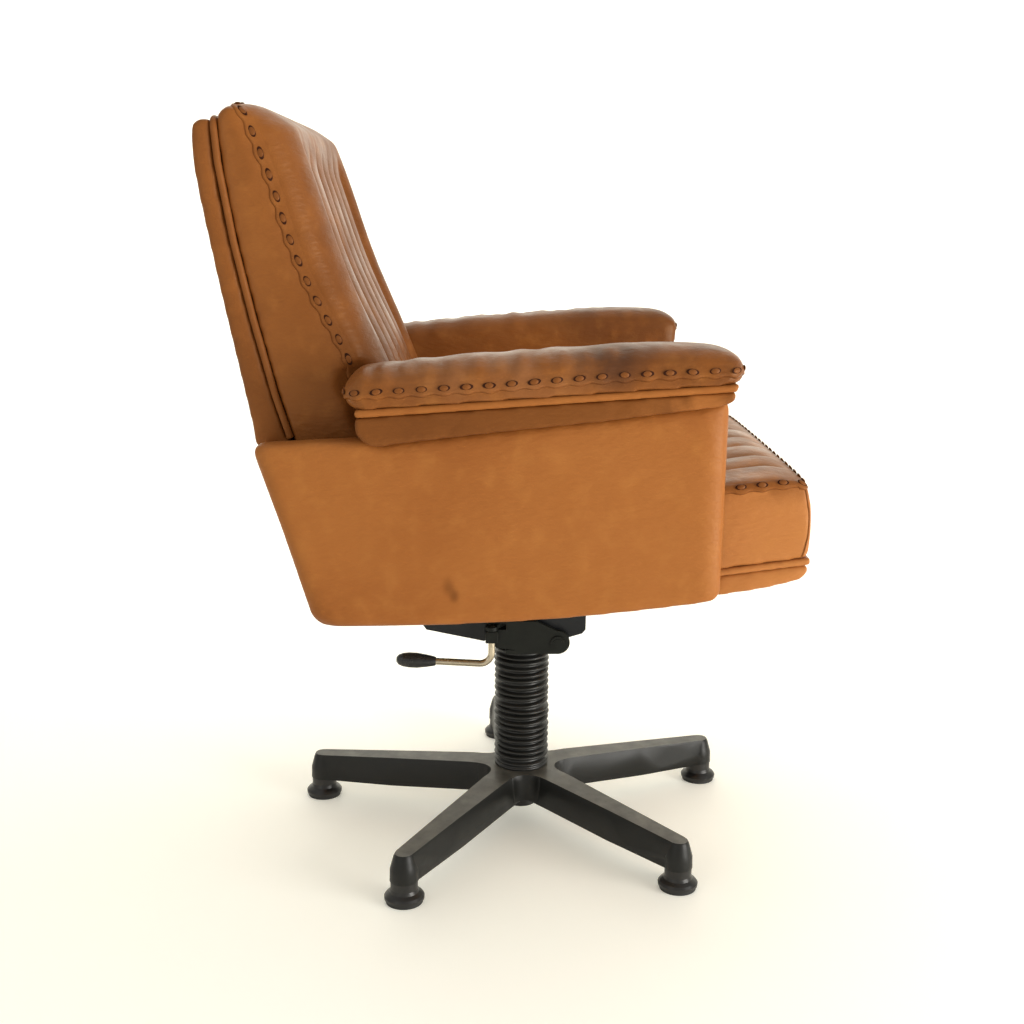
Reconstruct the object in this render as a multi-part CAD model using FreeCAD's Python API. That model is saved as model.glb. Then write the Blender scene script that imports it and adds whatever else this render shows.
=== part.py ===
import FreeCAD, Part
import math
import os

os.makedirs("parts", exist_ok=True)

# A swivel office chair in leather on a five-arm cast base.
# Millimetres, +Z up. The origin is on the floor, on the swivel axis.
# The chair faces -Y, so the sitter's right hand is at -X.

SIDES = {"left": 1, "right": -1}
RUNNING_GAP = 0.05          # radial clearance of a shaft that turns or slides in its hole
BODY_GAP = 0.5              # clearance between pieces that move past each other

# ---- driving dimensions -------------------------------------------------------------------
FOOT_CIRCLE = 318.0         # radius on which the five glides stand
FIRST_ARM = 5.4             # turn of the first base arm from +X, degrees
ARM_COUNT = 5
PIVOT_Y = -51.0             # tilt axle, in front of the column
PIVOT_Z = 293.0
PANEL_OUT = 338.0           # outer faces of the side panels
PANEL_THICK = 38.0
PANEL_IN = PANEL_OUT - PANEL_THICK
ARM_IN = 252.0              # armrests, inner and outer faces
ARM_OUT = 360.0
APRON = 14.0                # thickness of the pad's apron on the armrest's inner face
SEAT_HALF = 287.0           # half width of the seat cushion
BACK_HALF = 266.0           # half width of the back cushion

# ---- base ---------------------------------------------------------------------------------
HUB_RADIUS = 66.0
FILLET_RADIUS = 25.5        # round corner between two arms, and its centre's distance from the axis
FILLET_CENTRE = 77.5
HUB_BOTTOM = 34.0           # end of the column tube below the casting
HUB_UNDER = 44.0            # underside of the casting between the arms
HUB_TOP = 83.5
TUBE_RADIUS = 25.0
TUBE_BORE = 22.5
TUBE_TOP = 188.0
PLATE = 3.0                 # thickness of the tube's bottom plate and of the pressed pan
GLIDE_TOP = 31.0
PAD_TOP = 5.0
STEM_RADIUS = 5.5
STEM_TOP = 55.0
FOOT_BOSS = 19.5            # radius of the round boss at the arm's end, at its foot
CAP_BOTTOM = 19.5
CAP_RADIUS = 22.0
CAP_WALL = 3.0

# ---- column -------------------------------------------------------------------------------
ROD_RADIUS = 5.0
CYLINDER_RADIUS = 14.0
CYLINDER_BORE = 12.5
CYLINDER_BOTTOM = 125.0
CYLINDER_TOP = 300.0
GLAND = 8.0
RACE = 2.0                  # thickness of each bearing race
BALL_RADIUS = 1.0
BALL_CIRCLE = 9.0
BALL_COUNT = 8
RACE_RADIUS = 12.0
CLIP_BOTTOM = 30.0          # clip on the piston rod, under the tube's plate
CLIP_RADIUS = 9.0
ROD_BOTTOM = 27.0
PISTON_HEIGHT = 10.0
BUSH_BOTTOM = 150.0         # lower end of the column's guide bush
GAITER_BOTTOM = 84.5
GAITER_COLLAR = 88.0
GAITER_TOP = 274.5
GAITER_CREST = 41.0
GAITER_BORE = 31.5
GAITER_RINGS = 20
HOUSING_BOTTOM = 275.5
HOUSING_FLOOR = 281.5
CHEEK_IN = 52.0
CHEEK_OUT = 60.0
CHEEK_TOP = 325.0
SOCKET_RADIUS = 22.0
AXLE_RADIUS = 6.0
AXLE_HALF = 64.0
AXLE_CLIP = 3.0             # thickness of the clips on the axle's ends
AXLE_CLIP_RADIUS = 10.0
CHEEK_BOSS = 17.5           # radius of the cheeks' round ends about the axle
FLANGE_BOSS = 14.0          # the same for the pan's flanges
BUSH_RADIUS = 9.0
PAN_IN = 45.0
PAN_OUT = 48.0
PAN_TOP = 369.0
PAN_FRONT = -93.0
PAN_REAR = 145.0
SPRING_X = 32.0
SPRING_Y = -12.0
SPRING_RADIUS = 9.0
SPRING_WIRE = 1.6
SPRING_TURNS = 7

# ---- height lever -------------------------------------------------------------------------
LEVER_X = -67.0
LEVER_Y = 45.0
LEVER_TOP = 320.0
LEVER_ROD = 5.0
LEVER_LOW = 264.0           # height of the level part where it leaves the bend
LEVER_BEND = 17.0
LEVER_RISE = 3.0            # the level part climbs a little towards the grip, degrees
GRIP_START = 126.0
GRIP_LENGTH = 57.0
GRIP_RADIUS = 11.0
GRIP_BORE = 25.0            # depth of the rod inside the grip
PIN_RADIUS = 3.0
PIN_BOTTOM = 292.0
PIN_TOP = 313.5
PIN_STROKE = 3.0
CAM_TURN = 12.0             # full swing of the lever, degrees
CAM_GAP = 1.0
CAM_RADIUS = 9.0            # of the cam's round end on the rod


# ---- helpers ------------------------------------------------------------------------------
def V(x, y, z):
    return FreeCAD.Vector(x, y, z)


def rod(radius, z_from, z_to, x=0.0, y=0.0):
    """Upright cylinder."""
    return Part.makeCylinder(radius, z_to - z_from, V(x, y, z_from))


def cross_rod(radius, x_from, x_to, y, z):
    """Cylinder along X."""
    return Part.makeCylinder(radius, x_to - x_from, V(x_from, y, z), V(1, 0, 0))


def ring(outer, inner, z_from, z_to, x=0.0, y=0.0):
    return rod(outer, z_from, z_to, x, y).cut(rod(inner, z_from - 1, z_to + 1, x, y))


def box(x, y, z):
    """Block from three (low, high) pairs."""
    return Part.makeBox(x[1] - x[0], y[1] - y[0], z[1] - z[0], V(x[0], y[0], z[0]))


def straight(points):
    """Edges along a chain of (y, z) points."""
    corners = [V(0, y, z) for y, z in points]
    return [Part.makeLine(a, b) for a, b in zip(corners, corners[1:])]


def smooth(points):
    """One curve through a chain of (y, z) points."""
    curve = Part.BSplineCurve()
    curve.interpolate([V(0, y, z) for y, z in points])
    return [curve.toShape()]


def slab(edges, x_from, x_to):
    """Solid between two X planes from a closed outline in the Y-Z plane."""
    face = Part.Face(Part.Wire(edges))
    return face.extrude(V(x_to - x_from, 0, 0)).translated(V(x_from, 0, 0))


def block(points, x_from, x_to):
    """Slab with a straight-sided outline."""
    return slab(straight(points + points[:1]), x_from, x_to)


def either_side(side, x_in, x_out):
    """X range of a piece on one side of the chair."""
    return (x_in, x_out) if side > 0 else (-x_out, -x_in)


def spin(profile, centre=(0.0, 0.0)):
    """Solid of revolution from (radius, z) points about an upright axis."""
    corners = [V(r, 0, z) for r, z in profile + profile[:1]]
    face = Part.Face(Part.makePolygon(corners))
    return face.revolve(V(0, 0, 0), V(0, 0, 1), 360).translated(V(centre[0], centre[1], 0))


def polar(radius, angle):
    return radius * math.cos(math.radians(angle)), radius * math.sin(math.radians(angle))


def save(name, shape):
    shape.exportStep("parts/" + name + ".step")


# ---- base ---------------------------------------------------------------------------------
def arm_section(radius, half_top, top, half_bottom, bottom):
    corners = [
        V(radius, -half_bottom, bottom),
        V(radius, half_bottom, bottom),
        V(radius, half_top, top),
        V(radius, -half_top, top),
    ]
    return Part.makePolygon(corners + corners[:1])


def base_arm():
    """Tapering arm with a flat top and flared sides, ending in a round boss for the glide."""
    sections = [
        arm_section(20, 20, HUB_TOP, 23.5, HUB_UNDER - 3),
        arm_section(80, 19, HUB_TOP, 22.5, HUB_UNDER - 5),
        arm_section(200, 15.5, 77, 20, 33),
        arm_section(FOOT_CIRCLE, 12.5, 70, 17, GLIDE_TOP),
    ]
    beam = Part.makeLoft(sections, True, True)
    boss = [(0, GLIDE_TOP), (FOOT_BOSS, GLIDE_TOP), (19, 48), (14, 66), (12, 70), (0, 70)]
    return beam.fuse(spin(boss, (FOOT_CIRCLE, 0)))


def hub_corners():
    """Round corners between neighbouring arms, with the same draft as the arms' sides."""
    corners = []
    for number in range(ARM_COUNT):
        x, y = polar(FILLET_CENTRE, FIRST_ARM + (number + 0.5) * 360 / ARM_COUNT)
        height = HUB_TOP - HUB_BOTTOM + 2
        corners.append(Part.makeCone(FILLET_RADIUS - 4, FILLET_RADIUS, height, V(x, y, HUB_BOTTOM - 1)))
    return corners


def base_star():
    """One casting: five arms on a hub, bored for the column tube and the glides' stems."""
    star = rod(HUB_RADIUS, HUB_UNDER, HUB_TOP)
    for number in range(ARM_COUNT):
        arm = base_arm()
        arm.rotate(V(0, 0, 0), V(0, 0, 1), FIRST_ARM + number * 360 / ARM_COUNT)
        star = star.fuse(arm)
    star = star.cut(hub_corners())
    star = star.cut(rod(TUBE_RADIUS, 0, 200))
    for x, y in glide_places():
        star = star.cut(rod(STEM_RADIUS, 0, STEM_TOP, x, y))
    return star.removeSplitter()


def glide_places():
    return [polar(FOOT_CIRCLE, FIRST_ARM + number * 360 / ARM_COUNT) for number in range(ARM_COUNT)]


def glide(place):
    """Moulded foot: stem in the arm, neck, and a flare to the disc that holds the pad."""
    profile = [
        (0, PAD_TOP), (27, PAD_TOP), (27.3, 9), (25, 12), (20, 15.5), (18.5, 20),
        (18.5, GLIDE_TOP), (STEM_RADIUS, GLIDE_TOP), (STEM_RADIUS, STEM_TOP), (0, STEM_TOP),
    ]
    return spin(profile, place)


def hub_cap():
    cup = rod(CAP_RADIUS, CAP_BOTTOM, HUB_BOTTOM)
    return cup.cut(rod(CAP_RADIUS - CAP_WALL, CAP_BOTTOM + CAP_WALL, HUB_BOTTOM + 1))


def column_tube():
    """Fixed tube, closed below by a plate that the piston rod passes through."""
    tube = rod(TUBE_RADIUS, HUB_BOTTOM, TUBE_TOP)
    tube = tube.cut(rod(TUBE_BORE, HUB_BOTTOM + PLATE, TUBE_TOP + 1))
    return tube.cut(rod(ROD_RADIUS + BODY_GAP, 0, 50))


def bearing_balls(z):
    balls = []
    for number in range(BALL_COUNT):
        x, y = polar(BALL_CIRCLE, number * 360 / BALL_COUNT)
        balls.append(Part.makeSphere(BALL_RADIUS, V(x, y, z)))
    return Part.makeCompound(balls)


def make_base():
    race = HUB_BOTTOM + PLATE
    save("base_star", base_star())
    save("hub_cap", hub_cap())
    save("column_tube", column_tube())
    save("column_bush", ring(TUBE_BORE, CYLINDER_RADIUS + RUNNING_GAP, BUSH_BOTTOM, TUBE_TOP))
    save("bearing_lower", ring(RACE_RADIUS, ROD_RADIUS + BODY_GAP, race, race + RACE))
    save("bearing_balls", bearing_balls(race + RACE + BALL_RADIUS))
    for number, place in enumerate(glide_places(), 1):
        save("glide_%d" % number, glide(place))
        save("glide_pad_%d" % number, rod(25, 0, PAD_TOP, *place))


# ---- swivelling spindle -------------------------------------------------------------------
def piston_rod():
    """Thin rod held by a clip under the tube's plate, with the piston inside the cylinder."""
    piston_bottom = CYLINDER_BOTTOM + GLAND + 1
    piston = rod(CYLINDER_BORE - RUNNING_GAP, piston_bottom, piston_bottom + PISTON_HEIGHT)
    return rod(ROD_RADIUS, ROD_BOTTOM, piston_bottom).fuse(piston)


def gaiter():
    """Rubber bellows: alternate round crests and roots outside, a plain bore inside."""
    pitch = (GAITER_TOP - GAITER_COLLAR) / GAITER_RINGS
    bead = pitch / 4
    middle = GAITER_CREST - bead
    edges = []
    z = GAITER_COLLAR
    for _ in range(GAITER_RINGS):
        for bulge in (bead, -bead):
            low = V(middle, 0, z)
            peak = V(middle + bulge, 0, z + bead)
            high = V(middle, 0, z + 2 * bead)
            edges.append(Part.Arc(low, peak, high).toShape())
            z += 2 * bead
    rest = [
        (middle, GAITER_TOP), (GAITER_BORE, GAITER_TOP), (GAITER_BORE, GAITER_BOTTOM),
        (middle, GAITER_BOTTOM), (middle, GAITER_COLLAR),
    ]
    corners = [V(r, 0, z) for r, z in rest]
    edges += [Part.makeLine(a, b) for a, b in zip(corners, corners[1:])]
    return Part.Face(Part.Wire(edges)).revolve(V(0, 0, 0), V(0, 0, 1), 360)


def make_spindle():
    race = HUB_BOTTOM + PLATE + RACE + 2 * BALL_RADIUS + 0.3
    save("piston_rod", piston_rod())
    save("bearing_upper", ring(RACE_RADIUS, ROD_RADIUS, race, race + RACE))
    save("rod_clip", ring(CLIP_RADIUS, ROD_RADIUS, CLIP_BOTTOM, CLIP_BOTTOM + 2))
    save("gaiter", gaiter())


# ---- lifting column -----------------------------------------------------------------------
def gas_cylinder():
    """Hollow cylinder with a bored gland below and the release pin's hole above."""
    body = rod(CYLINDER_RADIUS, CYLINDER_BOTTOM, CYLINDER_TOP)
    body = body.cut(rod(CYLINDER_BORE, CYLINDER_BOTTOM + GLAND, 286))
    body = body.cut(rod(ROD_RADIUS + RUNNING_GAP, CYLINDER_BOTTOM - 1, CYLINDER_BOTTOM + GLAND + 1))
    return body.cut(rod(PIN_RADIUS + RUNNING_GAP, 280, CYLINDER_TOP + 1))


def tilt_housing():
    """Cast housing: socket on the cylinder, floor, two rear ribs, and two cheeks for the tilt axle.
    The right cheek is notched at the rear for the lever's cam."""
    outline = [
        (54, CHEEK_TOP), (54, 294), (38, 285), (-36, HOUSING_BOTTOM), (-51, HOUSING_BOTTOM),
        (-51, 310), (-20, CHEEK_TOP),
    ]
    housing = box((-CHEEK_OUT, CHEEK_OUT), (-36, 25), (HOUSING_BOTTOM, HOUSING_FLOOR))
    housing = housing.fuse(rod(SOCKET_RADIUS, HOUSING_BOTTOM, CYLINDER_TOP))
    for side in SIDES.values():
        x = either_side(side, CHEEK_IN, CHEEK_OUT)
        housing = housing.fuse(block(outline, *x))
        housing = housing.fuse(cross_rod(CHEEK_BOSS, x[0], x[1], PIVOT_Y, PIVOT_Z))
        rib = [(8, HOUSING_FLOOR), (50, HOUSING_FLOOR), (54, 286), (54, 303), (8, 303)]
        housing = housing.fuse(block(rib, *either_side(side, 16, 20)))
    notch = box((-CHEEK_OUT - 1, -CHEEK_IN + 1), (24, 60), (PIN_TOP - CAM_GAP, LEVER_TOP + 2))
    housing = housing.cut(notch)
    housing = housing.cut(rod(CYLINDER_RADIUS, 200, 400))
    housing = housing.cut(cross_rod(AXLE_RADIUS, -100, 100, PIVOT_Y, PIVOT_Z))
    return housing.removeSplitter()


def axle_clips():
    clips = []
    for side in SIDES.values():
        x = either_side(side, CHEEK_OUT, CHEEK_OUT + AXLE_CLIP)
        clip = cross_rod(AXLE_CLIP_RADIUS, x[0], x[1], PIVOT_Y, PIVOT_Z)
        clips.append(clip.cut(cross_rod(AXLE_RADIUS, -100, 100, PIVOT_Y, PIVOT_Z)))
    return Part.makeCompound(clips)


def tilt_spring(side):
    """Coil spring between the housing floor and the seat pan."""
    bottom = HOUSING_FLOOR + SPRING_WIRE
    height = PAN_TOP - PLATE - SPRING_WIRE - bottom
    path = Part.Wire(Part.makeHelix(height / SPRING_TURNS, height, SPRING_RADIUS))
    wire = Part.Wire(Part.makeCircle(SPRING_WIRE, V(SPRING_RADIUS, 0, 0), V(0, 1, 0)))
    coil = path.makePipeShell([wire], True, True)
    return coil.translated(V(side * SPRING_X, SPRING_Y, bottom))


def lever_sleeve():
    """Block on the right cheek with an upright bore for the lever."""
    sleeve = box((LEVER_X - 7, -CHEEK_OUT), (LEVER_Y - 9, LEVER_Y + 9), (296, PIN_TOP))
    return sleeve.cut(rod(LEVER_ROD + RUNNING_GAP, 200, 400, LEVER_X, LEVER_Y))


def stop_buffers():
    blocks = []
    for side in SIDES.values():
        x = either_side(side, PAN_IN - 3, PAN_OUT + 2)
        blocks.append(box(x, (-32, -22), (HOUSING_FLOOR, 296)))
    return Part.makeCompound(blocks)


def make_column():
    save("gas_cylinder", gas_cylinder())
    save("tilt_housing", tilt_housing())
    save("pivot_axle", cross_rod(AXLE_RADIUS, -AXLE_HALF, AXLE_HALF, PIVOT_Y, PIVOT_Z))
    save("axle_clips", axle_clips())
    save("lever_sleeve", lever_sleeve())
    save("stop_buffers", stop_buffers())
    for name, side in SIDES.items():
        save("tilt_spring_" + name, tilt_spring(side))
    save("release_pin", rod(PIN_RADIUS, PIN_BOTTOM, PIN_TOP))


# ---- lever --------------------------------------------------------------------------------
def lever_direction():
    rise = math.radians(LEVER_RISE)
    return V(0, math.cos(rise), math.sin(rise))


def bend_point(angle):
    """Point on the rod's bend: 0 is at the foot of the upright leg, 90 is its lowest point."""
    turn = math.radians(angle)
    y = LEVER_Y + LEVER_BEND * (1 - math.cos(turn))
    z = LEVER_LOW + LEVER_BEND * (1 - math.sin(turn))
    return V(LEVER_X, y, z)


def grip_start():
    bend_end = bend_point(90 + LEVER_RISE)
    along = (GRIP_START - bend_end.y) / lever_direction().y
    return bend_end + lever_direction() * along


def lever_rod():
    """Bent rod: an upright leg in the sleeve and a nearly level leg to the grip."""
    top = V(LEVER_X, LEVER_Y, LEVER_TOP)
    foot = bend_point(0)
    end = bend_point(90 + LEVER_RISE)
    path = Part.Wire([
        Part.makeLine(top, foot),
        Part.Arc(foot, bend_point(45), end).toShape(),
        Part.makeLine(end, grip_start() + lever_direction() * GRIP_BORE),
    ])
    circle = Part.Wire(Part.makeCircle(LEVER_ROD, top, V(0, 0, 1)))
    return path.makePipeShell([circle], True, True)


def lever_grip():
    """Moulded grip on the end of the rod: slim neck, full middle, rounded end."""
    profile = [(LEVER_ROD, 0), (6.2, 0), (7.4, 4), (9.2, 14), (GRIP_RADIUS, 27), (GRIP_RADIUS, 39)]
    profile += [(9.8, 48), (7.2, 54), (3.5, GRIP_LENGTH), (0, GRIP_LENGTH)]
    profile += [(0, GRIP_BORE), (LEVER_ROD, GRIP_BORE)]
    grip = spin(profile)
    grip.rotate(V(0, 0, 0), V(1, 0, 0), LEVER_RISE - 90)
    return grip.translated(grip_start())


def lever_cam():
    """Arm on the rod's top end whose ramp pushes the release pin down as the lever swings."""
    reach = math.hypot(LEVER_X, LEVER_Y)
    sweep = reach * math.sin(math.radians(CAM_TURN))
    slope = PIN_STROKE / sweep
    level = PIN_TOP + CAM_GAP
    arm = rod(CAM_RADIUS, level, LEVER_TOP)
    arm = arm.fuse(box((5, reach - 9), (-4, 4), (level, LEVER_TOP)))
    low, high = -sweep - 5, 5
    ramp = [(low, level + low * slope), (high, level + high * slope), (high, LEVER_TOP), (low, LEVER_TOP)]
    cam = arm.fuse(block(ramp, reach - 10, reach + 8))
    cam = cam.cut(rod(LEVER_ROD, LEVER_LOW, LEVER_TOP + 1))
    cam.rotate(V(0, 0, 0), V(0, 0, 1), math.degrees(math.atan2(-LEVER_Y, -LEVER_X)))
    return cam.translated(V(LEVER_X, LEVER_Y, 0))


def make_lever():
    save("lever_rod", lever_rod())
    save("lever_grip", lever_grip())
    save("lever_cam", lever_cam())


# ---- seat structure -----------------------------------------------------------------------
BEARER_HALF = 160.0
BOARD_REAR = 251.0
BOARD_FRONT = -236.0
BOARD_THICK = 14.0
BOARD_LOW = 408.0           # underside at the rear edge
BOARD_RISE = 28.0           # climb of the board from the rear edge to the front edge
EDGE_Y = 271.0              # rear edge line of the side panels passes through (EDGE_Y, EDGE_Z)
EDGE_Z = 421.0
EDGE_SLOPE = 61.0 / 199.0
REAR_PANEL_TOP = 622.0
PANEL_RECESS = 4.0          # the rear panel stands this far inside the edge line
PANEL_BACK = 20.0           # inset of the rear panel's inner face, where the shell's leg stands
SHELL_LEG = 42.0            # inset of the leg's front face
PANEL_LOW = 406.0           # lower edge of the rear panel
SCREW_RADIUS = 2.5
SCREW_HEAD = 4.0
BOLT_RADIUS = 3.5


def board_underside(y):
    return BOARD_LOW + BOARD_RISE * (BOARD_REAR - y) / (BOARD_REAR - BOARD_FRONT)


def board_top(y):
    return board_underside(y) + BOARD_THICK


def edge(z, inset):
    """(y, z) point on the sloping rear edge line, moved forward by inset."""
    return (EDGE_Y + EDGE_SLOPE * (z - EDGE_Z) - inset, z)


def seat_pan():
    """Pressed steel channel with deep flanges; the flanges turn on the tilt axle.
    The right flange is cut away where the lever's cam passes."""
    flange = [
        (PAN_REAR, PAN_TOP), (PAN_REAR, 316), (140, 309), (56, 291.5), (40, 302), (0, 309), (-30, 303),
        (-51, 300), (-67, 297), (-87, 303), (-92, 309), (PAN_FRONT, PAN_TOP),
    ]
    pan = box((-PAN_OUT, PAN_OUT), (PAN_FRONT, PAN_REAR), (PAN_TOP - PLATE, PAN_TOP))
    for side in SIDES.values():
        x = either_side(side, PAN_IN, PAN_OUT)
        pan = pan.fuse(block(flange, *x))
        pan = pan.fuse(cross_rod(FLANGE_BOSS, x[0], x[1], PIVOT_Y, PIVOT_Z))
    pan = pan.cut(box((-PAN_OUT - 1, -PAN_IN + 1), (2, 50), (280, 350)))
    pan = pan.cut(cross_rod(BUSH_RADIUS, -100, 100, PIVOT_Y, PIVOT_Z))
    return pan.removeSplitter()


def pivot_bushes():
    bushes = []
    for side in SIDES.values():
        x = either_side(side, PAN_IN - 5, CHEEK_IN - BODY_GAP)
        bush = cross_rod(BUSH_RADIUS, x[0], x[1], PIVOT_Y, PIVOT_Z)
        bushes.append(bush.cut(cross_rod(AXLE_RADIUS + RUNNING_GAP, -100, 100, PIVOT_Y, PIVOT_Z)))
    return Part.makeCompound(bushes)


def pan_screws():
    """Round-head screws from the pan up into the two bearers."""
    under_pan = PAN_TOP - PLATE
    screws = []
    for x in (-35, 35):
        for y in (-65, 115):
            head = rod(2 * SCREW_RADIUS, under_pan - SCREW_HEAD, under_pan, x, y)
            screws.append(head.fuse(rod(SCREW_RADIUS, under_pan, PAN_TOP + 20, x, y)))
    return Part.makeCompound(screws)


def bearer(y_front, y_rear):
    outline = [
        (y_front, PAN_TOP), (y_rear, PAN_TOP), (y_rear, board_underside(y_rear)),
        (y_front, board_underside(y_front)),
    ]
    return block(outline, -BEARER_HALF, BEARER_HALF)


def seat_board():
    outline = [
        (BOARD_REAR, BOARD_LOW), (BOARD_FRONT, BOARD_LOW + BOARD_RISE),
        (BOARD_FRONT, BOARD_LOW + BOARD_RISE + BOARD_THICK), (BOARD_REAR, BOARD_LOW + BOARD_THICK),
    ]
    return block(outline, -PANEL_IN, PANEL_IN)


def panel_bolts():
    """Bolts through the side panels into the edges of the board."""
    bolts = []
    for side in SIDES.values():
        x = either_side(side, PANEL_IN - 40, PANEL_OUT - 12)
        for y in (-160, 170):
            z = board_top(y) - BOARD_THICK / 2
            bolts.append(cross_rod(BOLT_RADIUS, x[0], x[1], y, z))
    return Part.makeCompound(bolts)


def side_panel(side):
    """Padded panel: sloping rear edge, bowed underside, top that carries the armrest."""
    outline = straight([(-241, 684), (-238, 448)])
    outline += smooth([(-238, 448), (-234, 437), (-222, 433)])
    outline += smooth([(-222, 433), (-145, 423), (-37, 412), (129, 403), (242, 401)])
    outline += smooth([(242, 401), (257, 405), (268, 416)])
    outline += straight([(268, 416), (300, 522), (331, 616)])
    outline += smooth([(331, 616), (331, 626), (321, 631)])
    outline += straight([(321, 631), (203, 637), (166, 634), (49, 648), (-84, 662), (-217, 679), (-241, 684)])
    return slab(outline, *either_side(side, PANEL_IN, PANEL_OUT))


def arm_bolts():
    bolts = []
    for side in SIDES.values():
        for y in (-150, 110):
            bolts.append(rod(BOLT_RADIUS, 600, 665, side * (PANEL_IN + PANEL_THICK / 2), y))
    return Part.makeCompound(bolts)


def rear_panel():
    """Upholstered board across the back, under the shell."""
    outline = [
        edge(PANEL_LOW, PANEL_RECESS), edge(REAR_PANEL_TOP, PANEL_RECESS),
        edge(REAR_PANEL_TOP, PANEL_BACK), edge(PANEL_LOW, PANEL_BACK),
    ]
    return block(outline, -PANEL_IN, PANEL_IN)


# Lines shared by the layers of the back, from the front layer to the rear one.
CUSHION_REAR = [(292, 625), (309, 681), (333, 776), (353, 868), (368, 960), (372, 1011)]
SHELL_FRONT = [(380, 1010), (376, 960), (361, 868), (341, 776), (317, 681), (300, 625)]


def back_shell():
    """Upholstered shell of the back; a narrower leg runs down inside to the seat board."""
    foot = BOARD_LOW + BOARD_THICK
    outline = straight([edge(foot, PANEL_BACK), edge(REAR_PANEL_TOP, PANEL_BACK), (339, REAR_PANEL_TOP)])
    outline += smooth([(339, REAR_PANEL_TOP), (355, 702), (375, 802), (392, 894), (403, 974), (403, 1002)])
    outline += smooth([(403, 1002), (397, 1009), (380, 1010)])
    outline += smooth(SHELL_FRONT)
    outline += straight([
        SHELL_FRONT[-1], (300, REAR_PANEL_TOP), edge(REAR_PANEL_TOP, SHELL_LEG),
        edge(foot + 2, SHELL_LEG), edge(foot, PANEL_BACK),
    ])
    return slab(outline, -BACK_HALF - 2, BACK_HALF + 2)


def back_welt():
    """Piping strip between the shell and the cushion."""
    outline = smooth(SHELL_FRONT) + straight([SHELL_FRONT[-1], CUSHION_REAR[0]])
    outline += smooth(CUSHION_REAR) + straight([CUSHION_REAR[-1], SHELL_FRONT[0]])
    return slab(outline, -BACK_HALF - 2, BACK_HALF + 2)


def back_cushion(obstacles):
    """Soft back pad between the shell and the sitter, pressed in where the armrests meet it."""
    outline = smooth(CUSHION_REAR)
    outline += smooth([CUSHION_REAR[-1], (358, 1026), (338, 1031), (305, 1018), (284, 1004)])
    outline += smooth([(284, 1004), (261, 943), (231, 851), (187, 741), (150, 645), (98, 507)])
    outline += straight([
        (98, 507), (226, 488), edge(490, SHELL_LEG), edge(REAR_PANEL_TOP, SHELL_LEG), CUSHION_REAR[0],
    ])
    return slab(outline, -BACK_HALF, BACK_HALF).cut(obstacles)


def back_bracket(side):
    """Steel angle between the board and the leg of the back shell."""
    reach, thick = 60, 4
    corner_y = edge(BOARD_LOW + BOARD_THICK, SHELL_LEG)[0]
    floor = board_top(corner_y)
    front, top = corner_y - reach, floor + reach
    outline = [
        (front, board_top(front)), (corner_y, floor), edge(top, SHELL_LEG), edge(top, SHELL_LEG + thick),
        (corner_y - thick, floor + thick), (front, board_top(front) + thick),
    ]
    return block(outline, *either_side(side, 130, 160))


def seat_rail():
    """Upholstered front rail under the cushion."""
    outline = straight([(BOARD_FRONT, 427), (-300, 437), (-344, 448)])
    outline += smooth([(-344, 448), (-354, 456), (-357, 470)])
    outline += straight([(-357, 470), (BOARD_FRONT, 454), (BOARD_FRONT, 427)])
    return slab(outline, -SEAT_HALF, SEAT_HALF)


def seat_welt():
    """Piping strip between the rail and the cushion."""
    outline = [(BOARD_FRONT, 454), (-357, 470), (-357, 478), (BOARD_FRONT, 462)]
    return block(outline, -SEAT_HALF, SEAT_HALF)


def seat_cushion(obstacles):
    """Thick seat pad with a bulging front, between the side panels."""
    outline = straight([(BOARD_FRONT, 462), (-354, 477.6)])
    outline += smooth([(-354, 477.6), (-357, 500), (-357, 535), (-350, 573)])
    outline += smooth([(-350, 573), (-325, 578), (-290, 577), (-240, 571)])
    outline += straight([(-240, 571), (98, 507), (226, 488), (226, board_top(226))])
    outline += straight([(226, board_top(226)), (BOARD_FRONT, board_top(BOARD_FRONT)), (BOARD_FRONT, 462)])
    return slab(outline, -SEAT_HALF, SEAT_HALF).cut(obstacles)


# ---- armrests -----------------------------------------------------------------------------
def arm_band(x):
    """Lower band of the armrest over an X range."""
    outline = straight([(205, 667), (-243, 699)])
    outline += smooth([(-243, 699), (-244, 691), (-236, 684), (-217, 679)])
    outline += straight([(-217, 679), (-84, 662), (49, 648), (166, 634)])
    outline += smooth([(166, 634), (192, 634), (203, 643), (205, 667)])
    return slab(outline, *x)


def arm_strip(x):
    """Piping strip between the band and the pad over an X range."""
    return block([(205, 667), (-243, 699), (-245, 707), (207, 675)], *x)


def arm_base(side):
    return arm_band(either_side(side, ARM_IN + APRON, ARM_OUT))


def arm_welt(side):
    return arm_strip(either_side(side, ARM_IN + APRON, ARM_OUT))


def arm_pad(side):
    """Soft pad on top, with an apron that covers the armrest's inner face down to its underside."""
    outline = straight([(-245, 707), (207, 675)])
    outline += smooth([(207, 675), (221, 692), (213, 711), (186, 721)])
    outline += smooth([(186, 721), (116, 729), (-35, 741), (-150, 748), (-210, 747)])
    outline += smooth([(-210, 747), (-239, 741), (-252, 731), (-255, 720), (-252, 711), (-245, 707)])
    apron = either_side(side, ARM_IN, ARM_IN + APRON)
    nose = smooth([(-245, 720), (-253, 708), (-252, 696), (-240, 686)])
    nose += straight([(-240, 686), (-230, 690), (-230, 720), (-245, 720)])
    pad = slab(outline, *either_side(side, ARM_IN, ARM_OUT))
    return pad.fuse([arm_strip(apron), arm_band(apron), slab(nose, *apron)]).removeSplitter()


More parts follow.
